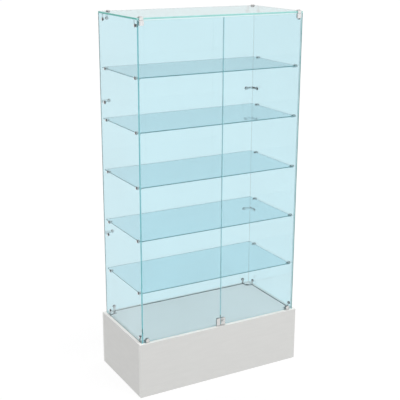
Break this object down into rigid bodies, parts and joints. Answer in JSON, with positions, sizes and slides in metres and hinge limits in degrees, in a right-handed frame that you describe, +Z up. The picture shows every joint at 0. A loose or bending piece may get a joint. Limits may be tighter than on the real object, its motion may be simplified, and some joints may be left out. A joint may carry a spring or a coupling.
{
  "type": "pedestal display case",
  "caption": "Free-standing glass showcase with glass shelves, swinging glass doors and a centre lock on a low board pedestal.",
  "frame": {"origin": "on the floor under the centre of the pedestal", "axes": "+Z up, +X to the right seen from the front, the doors face -Y"},
  "size_m": [0.9, 0.45, 1.8143],
  "materials": {
    "laminate": "satin light grey laminate on board",
    "wall_glass": "clear float glass with a pale blue tint, polished edges",
    "shelf_glass": "clear float glass with a pale blue tint, polished edges",
    "top_plate_glass": "clear float glass with a green edge",
    "chrome": "polished chrome plate"
  },
  "bodies": {
    "case": {"base_deck": "laminate", "base_front_panel": "laminate", "base_left_panel": "laminate", "base_rear_panel": "laminate", "base_rib": "laminate", "base_right_panel": "laminate", "front_corner_bottom_left": "chrome", "front_corner_bottom_right": "chrome", "front_corner_top_left": "chrome", "front_corner_top_right": "chrome", "rear_corner_bottom_left": "chrome", "rear_corner_bottom_right": "chrome", "rear_corner_top_left": "chrome", "rear_corner_top_right": "chrome", "rear_glass": "wall_glass", "rear_link_lower_left": "chrome", "rear_link_lower_right": "chrome", "rear_link_upper_left": "chrome", "rear_link_upper_right": "chrome", "shelf_glass_1": "shelf_glass", "shelf_glass_2": "shelf_glass", "shelf_glass_3": "shelf_glass", "shelf_glass_4": "shelf_glass", "shelf_glass_5": "shelf_glass", "shelf_support_1_left_front": "chrome", "shelf_support_1_left_rear": "chrome", "shelf_support_1_right_front": "chrome", "shelf_support_1_right_rear": "chrome", "shelf_support_2_left_front": "chrome", "shelf_support_2_left_rear": "chrome", "shelf_support_2_right_front": "chrome", "shelf_support_2_right_rear": "chrome", "shelf_support_3_left_front": "chrome", "shelf_support_3_left_rear": "chrome", "shelf_support_3_right_front": "chrome", "shelf_support_3_right_rear": "chrome", "shelf_support_4_left_front": "chrome", "shelf_support_4_left_rear": "chrome", "shelf_support_4_right_front": "chrome", "shelf_support_4_right_rear": "chrome", "shelf_support_5_left_front": "chrome", "shelf_support_5_left_rear": "chrome", "shelf_support_5_right_front": "chrome", "shelf_support_5_right_rear": "chrome", "side_glass_left": "wall_glass", "side_glass_right": "wall_glass", "top_glass": "top_plate_glass"},
    "left_door": {"door_glass_left": "wall_glass", "door_clamp_bottom_left": "chrome", "door_clamp_top_left": "chrome", "lock_strike": "chrome"},
    "right_door": {"door_glass_right": "wall_glass", "door_clamp_bottom_right": "chrome", "door_clamp_top_right": "chrome", "lock_body": "chrome"},
    "lock_plug": {"lock_cylinder": "chrome", "lock_cam": "chrome"}
  },
  "joints": [
    {"name": "left_door_hinge", "type": "hinge", "parent": "case", "child": "left_door", "pos_m": [-0.411, -0.2115, 0.28], "axis": [0, 0, -1], "range_deg": [0, 105]},
    {"name": "right_door_hinge", "type": "hinge", "parent": "case", "child": "right_door", "pos_m": [0.411, -0.2115, 0.28], "axis": [0, 0, 1], "range_deg": [0, 105]},
    {"name": "lock_turn", "type": "hinge", "parent": "right_door", "child": "lock_plug", "pos_m": [0.0125, -0.214, 0.303], "axis": [0, 1, 0], "range_deg": [0, 90]}
  ]
}
